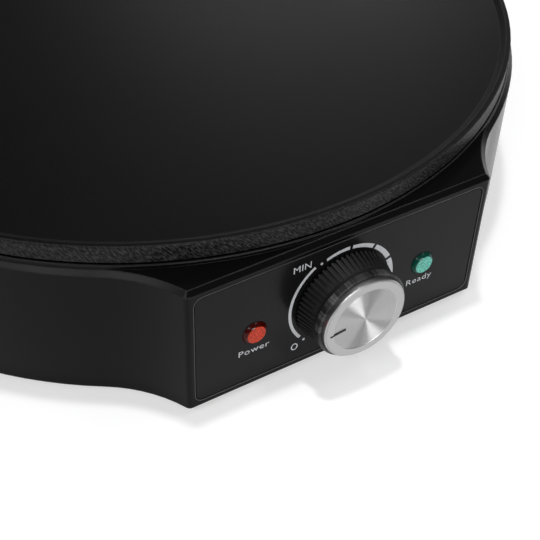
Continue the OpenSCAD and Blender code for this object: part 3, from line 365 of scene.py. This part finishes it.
FINISHES = {
    "nonstick_cast": nonstick_material(),
    # the edge colours of the housing and the panel below are painted highlights
    "housing_black": plastic_material(
        "housing_gloss", dark=(0.0020, 0.0020, 0.0022), light=(0.0032, 0.0032, 0.0034),
        painted_edge_highlight=(0.13, 0.13, 0.132), rough=0.22, wave=0.35, round_r=0.00065),
    "panel_grey": plastic_material(
        "panel_gloss", dark=(0.0055, 0.0055, 0.0058), light=(0.008, 0.008, 0.0084),
        painted_edge_highlight=(0.010, 0.010, 0.0105), rough=0.20, wave=0.2, round_r=0.0005),
    "knob_black": knob_material(),
    "cover_black": grained_material(
        "cover_grain", dark=(0.016, 0.016, 0.016), light=(0.026, 0.026, 0.026), rough=0.55),
    "rubber_black": grained_material(
        "rubber", dark=(0.012, 0.012, 0.012), light=(0.022, 0.022, 0.022), rough=0.75,
        grain=1400),
    "white_plastic": grained_material(
        "white_plastic", dark=(0.66, 0.65, 0.60), light=(0.76, 0.75, 0.70), rough=0.45),
    "ceramic_white": grained_material(
        "steatite", dark=(0.66, 0.63, 0.56), light=(0.76, 0.73, 0.66), rough=0.65, grain=2000),
    "spun_aluminium": spun_material(),
    "shield_steel": metal_material(
        "aluminised_steel", dark=(0.46, 0.47, 0.48), light=(0.60, 0.61, 0.62), rough=0.36,
        stretch=(1, 0.06, 1)),
    "zinc_steel": metal_material(
        "zinc_steel", dark=(0.50, 0.50, 0.50), light=(0.66, 0.66, 0.67), rough=0.34),
    "element_steel": metal_material(
        "element_steel", dark=(0.10, 0.08, 0.065), light=(0.17, 0.14, 0.12), rough=0.45,
        stretch=(1, 1, 0.3), tint=(0.06, 0.045, 0.06)),
    "tab_metal": metal_material(
        "tinned_brass", dark=(0.56, 0.52, 0.42), light=(0.70, 0.66, 0.54), rough=0.32,
        stretch=(0.3, 1, 1)),
    "brass_parts": metal_material(
        "brass", dark=(0.62, 0.47, 0.20), light=(0.76, 0.60, 0.30), rough=0.28,
        stretch=(1, 0.2, 1)),
    # each lens below gets a painted shaded colour for its side and a painted lit colour for its
    # face
    "lens_red": lens_material(
        "red_lens", "power_lens", painted_side_shade=(0.030, 0.001, 0.0006), bright=(0.68, 0.060, 0.026)),
    "lens_green": lens_material(
        "green_lens", "ready_lens", painted_side_shade=(0.001, 0.032, 0.022), bright=(0.19, 0.64, 0.53)),
    "lamp_glass": glass_material(),
}
INK = ink_material()

for part in frame["record"]["subparts"]:
    mesh = frame["nodes"][part["node"]].data
    mesh.materials.clear()
    mesh.materials.append(FINISHES[part["material_slot"]])


# ---------- lenses ----------

LENS_SIDES, LENS_RINGS = 48, 6
# the outer rings have one pyramid to each side, the inner ones one to two
FINE_RINGS = 3
FACET_DEPTH = 0.12 * MM


def piece(name, points, faces, material, body):
    mesh = bpy.data.meshes.new(name)
    mesh.from_pydata(points, [], faces)
    mesh.update()
    obj = bpy.data.objects.new(name, mesh)
    scene.collection.objects.link(obj)
    mesh.materials.append(material)
    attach(obj, body)
    return obj


def lens_piece(node, material):
    """A lens with rings of small pyramids on its face, and a hollow behind it for the lamp."""
    low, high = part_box(node)
    cx, cz = (low.x + high.x) / 2, (low.z + high.z) / 2
    flange_r = (high.x - low.x) / 2
    neck_y, face_y, side = high.y - LENS_FLANGE_T, low.y, LENS_SIDES
    points, faces = [], []

    def circle(r, y):
        for k in range(side):
            a = math.tau * k / side
            points.append((cx + r * math.cos(a), y, cz + r * math.sin(a)))

    def at(row, k):
        return row * side + k % side

    face_r = LENS_R - LENS_BEVEL
    rings = [face_r * k / LENS_RINGS for k in range(LENS_RINGS, 0, -1)]
    outline = [(flange_r, high.y), (flange_r, neck_y), (LENS_R, neck_y),
               (LENS_R, face_y + LENS_BEVEL)]
    outline += [(r, face_y + FACET_DEPTH) for r in rings]
    for r, y in outline:
        circle(r, y)

    first_ring = len(outline) - len(rings)
    for row in range(first_ring):
        for k in range(side):
            faces.append((at(row, k), at(row, k + 1), at(row + 1, k + 1), at(row + 1, k)))
    for row in range(first_ring, len(outline) - 1):
        r_mid = (outline[row][0] + outline[row + 1][0]) / 2
        step = 1 if row < first_ring + FINE_RINGS else 2
        for k in range(0, side, step):
            a = math.tau * (k + step / 2) / side
            tip = len(points)
            points.append((cx + r_mid * math.cos(a), face_y, cz + r_mid * math.sin(a)))
            corners = [at(row, k + j) for j in range(step + 1)]
            corners += [at(row + 1, k + j) for j in range(step, -1, -1)]
            faces += [(corners[j], corners[(j + 1) % len(corners)], tip)
                      for j in range(len(corners))]
    tip = len(points)
    points.append((cx, face_y, cz))
    last = len(outline) - 1
    faces += [(at(last, k), at(last, k + 1), tip) for k in range(side)]

    # the hollow
    base = len(points)
    for y in (high.y, face_y + LENS_WALL):
        circle(LENS_R - LENS_WALL, y)
    for k in range(side):
        j = (k + 1) % side
        faces.append((at(0, k), base + k, base + j, at(0, k + 1)))
        faces.append((base + k, base + side + k, base + side + j, base + j))
    faces.append(tuple(base + side + k for k in range(side)))

    obj = piece(node + "_moulding", points, faces, material, "base")
    for polygon in obj.data.polygons:
        polygon.use_smooth = len(polygon.vertices) == 4
    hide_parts(node)


lens_piece("power_lens", FINISHES["lens_red"])
lens_piece("ready_lens", FINISHES["lens_green"])


# ---------- print on the panel ----------

INK_T = 0.03 * MM

# the dial, in degrees clockwise from the top and in millimetres from the knob's axis
ARC_START, ARC_END, ARC_INNER, ARC_OUTER = -128.8, -34.0, 20.8, 22.0
MARK_COUNT, MARK_START, MARK_PITCH, MARK_SPAN = 5, -21.5, 30, 26.5
# each mark is wider at its end than at its start
MARK_INNER, MARK_OUTER, MARK_GROWTH = 19.9, 21.1, 0.26
DOTS = ((-136.0, 21.5), (-27.4, 20.7), (136.0, 21.5))
DOT_R = 0.55
ZERO_ANGLE, ZERO_RADIUS = -133, 25.6
# half width and half height of the zero's outer and inner outline
ZERO_OVALS = ((1.42, 1.62), (0.98, 1.18))
ARC_STEPS, MARK_STEPS, DOT_STEPS, ZERO_STEPS = 48, 18, 12, 40


def on_dial(radius, angle):
    """A point of the dial, clockwise from the top."""
    a = math.radians(angle)
    return radius * MM * math.sin(a), KNOB_Z + radius * MM * math.cos(a)


def band(start, end, inner, outer_start, outer_end, count):
    """The outer and the inner side of a curved mark, both from its start."""
    steps = [k / count for k in range(count + 1)]
    outside = [on_dial(outer_start + (outer_end - outer_start) * t, start + (end - start) * t)
               for t in steps]
    inside = [on_dial(inner, start + (end - start) * t) for t in steps]
    return outside, inside


def slab(points, faces, near, far):
    """A thin layer of ink between two outlines of the same length."""
    count = len(near)
    base = len(points)
    for y in (PANEL_Y - INK_T, PANEL_Y + INK_T):
        points += [(x, y, z) for x, z in near] + [(x, y, z) for x, z in far]
    front, back = base, base + 2 * count
    for k in range(count - 1):
        faces.append((front + k, front + k + 1, front + count + k + 1, front + count + k))
        faces.append((back + k, back + count + k, back + count + k + 1, back + k + 1))
        faces.append((front + k, back + k, back + k + 1, front + k + 1))
        faces.append((front + count + k, front + count + k + 1,
                      back + count + k + 1, back + count + k))
    for k in (0, count - 1):
        faces.append((front + k, front + count + k, back + count + k, back + k))


def dial_print():
    points, faces = [], []
    marks = [(ARC_START, ARC_END, ARC_INNER, ARC_OUTER, ARC_OUTER, ARC_STEPS)]
    for k in range(MARK_COUNT):
        start = MARK_START + MARK_PITCH * k
        outer = [MARK_OUTER + MARK_GROWTH * j for j in (k, k + 1)]
        marks.append((start, start + MARK_SPAN, MARK_INNER, outer[0], outer[1], MARK_STEPS))
    for mark in marks:
        slab(points, faces, *band(*mark))
    for angle, radius in DOTS:
        cx, cz = on_dial(radius, angle)
        steps = [math.pi * k / DOT_STEPS for k in range(DOT_STEPS + 1)]
        upper = [(cx + DOT_R * MM * math.cos(a), cz + DOT_R * MM * math.sin(a)) for a in steps]
        lower = [(x, 2 * cz - z) for x, z in upper]
        slab(points, faces, upper, lower)
    cx, cz = on_dial(ZERO_RADIUS, ZERO_ANGLE)
    steps = [math.tau * k / ZERO_STEPS for k in range(ZERO_STEPS + 1)]
    ovals = ([(cx + a * MM * math.sin(t), cz + b * MM * math.cos(t)) for t in steps]
             for a, b in ZERO_OVALS)
    slab(points, faces, *ovals)
    piece("dial_print", points, faces, INK, "base")


def label(name, text, x, z, height, stretch, spacing):
    """Generic lettering, centred on a place of the panel."""
    curve = bpy.data.curves.new(name, "FONT")
    curve.body = text
    curve.align_x, curve.align_y = "CENTER", "CENTER"
    curve.size = height
    curve.space_character = spacing
    curve.extrude = INK_T
    curve.resolution_u = 6
    source = bpy.data.objects.new(name + "_source", curve)
    scene.collection.objects.link(source)
    bpy.context.view_layer.update()
    depsgraph = bpy.context.evaluated_depsgraph_get()
    mesh = bpy.data.meshes.new_from_object(source.evaluated_get(depsgraph))
    bpy.data.objects.remove(source)
    place = Matrix.Translation((x, PANEL_Y, z)) @ Matrix.Rotation(math.radians(90), 4, "X")
    mesh.transform(place @ Matrix.Diagonal((stretch, 1, 1, 1)))
    mesh.materials.clear()
    mesh.materials.append(INK)
    obj = bpy.data.objects.new(name, mesh)
    scene.collection.objects.link(obj)
    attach(obj, "base")


# height of the housing's lower edge, from which the lamp labels are placed
WALL_Z = 3.0 * MM
dial_print()
label("label_power", "Power", -35.8 * MM, WALL_Z + 16.6 * MM,
      height=3.75 * MM, stretch=1.18, spacing=1.1)
label("label_ready", "Ready", 35.0 * MM, WALL_Z + 17.0 * MM,
      height=3.75 * MM, stretch=1.18, spacing=1.1)
label("label_min", "MIN", -17.3 * MM, KNOB_Z + 19.9 * MM,
      height=4.1 * MM, stretch=1.0, spacing=1.05)

# ---------- floor, world and lamps ----------

FLOOR_HALF, FLOOR_DROP, FLOOR_TONE = 40.0, 0.0002, 0.68
# the floor's own glow for the camera and for reflections, near the object and far from it
GLOW_NEAR_R, GLOW_FAR_R, GLOW_NEAR, GLOW_FAR = 0.30, 1.6, 0.42, 1.0
WORLD_STRENGTH = 0.14
LAMP_TARGET = (0, 0, 0.05)
# name, place, target, size in metres, watts
LAMPS = (
    ("softbox_over", (-0.02, 0.07, 2.0), LAMP_TARGET, (0.14, 0.14), 14.5),
    ("softbox_left", (-1.79, -0.83, 1.89), LAMP_TARGET, (1.9, 0.36), 16),
    ("softbox_front", (-0.13, -2.35, 1.0), LAMP_TARGET, (1.2, 0.6), 28),
    ("softbox_back", (1.57, 2.15, 0.92), LAMP_TARGET, (1.0, 0.6), 7),
    ("strip_right", (0.98, -0.24, 1.96), (0, -0.05, 0.05), (1.7, 0.15), 8),
)

floor_mesh = bpy.data.meshes.new("floor")
floor_mesh.from_pydata([(-FLOOR_HALF, -FLOOR_HALF, 0), (FLOOR_HALF, -FLOOR_HALF, 0),
                        (FLOOR_HALF, FLOOR_HALF, 0), (-FLOOR_HALF, FLOOR_HALF, 0)],
                       [], [(0, 1, 2, 3)])
floor = bpy.data.objects.new("floor", floor_mesh)
scene.collection.objects.link(floor)
floor.location.z = -FLOOR_DROP
f = Nodes("floor_white")
seen = f.add("ShaderNodeLightPath")
rays = f.math("MAXIMUM", seen.outputs["Is Camera Ray"],
              f.math("MAXIMUM", seen.outputs["Is Glossy Ray"],
                     seen.outputs["Is Transmission Ray"]))
floor_x, floor_y, _ = f.xyz()
glow = f.remap(f.length(floor_x, floor_y), GLOW_NEAR_R, GLOW_FAR_R, GLOW_NEAR, GLOW_FAR)
f.finish(Base_Color=(FLOOR_TONE, FLOOR_TONE, FLOOR_TONE), Roughness=0.9,
         Specular_IOR_Level=0.0, Emission_Color=(1, 1, 1),
         Emission_Strength=f.times(rays, glow))
floor_mesh.materials.append(f.mat)

world = bpy.data.worlds.new("studio")
world.use_nodes = True
scene.world = world
background = world.node_tree.nodes["Background"]
background.inputs["Color"].default_value = (1.0, 1.0, 1.0, 1.0)
background.inputs["Strength"].default_value = WORLD_STRENGTH

for name, place, target, size, watts in LAMPS:
    data = bpy.data.lights.new(name, "AREA")
    data.shape = "RECTANGLE"
    data.size, data.size_y = size
    data.energy = watts
    lamp = bpy.data.objects.new(name, data)
    scene.collection.objects.link(lamp)
    lamp.location = place
    aim = Vector(target) - Vector(place)
    lamp.rotation_euler = aim.to_track_quat("-Z", "Y").to_euler()

scene.view_settings.view_transform = "Standard"
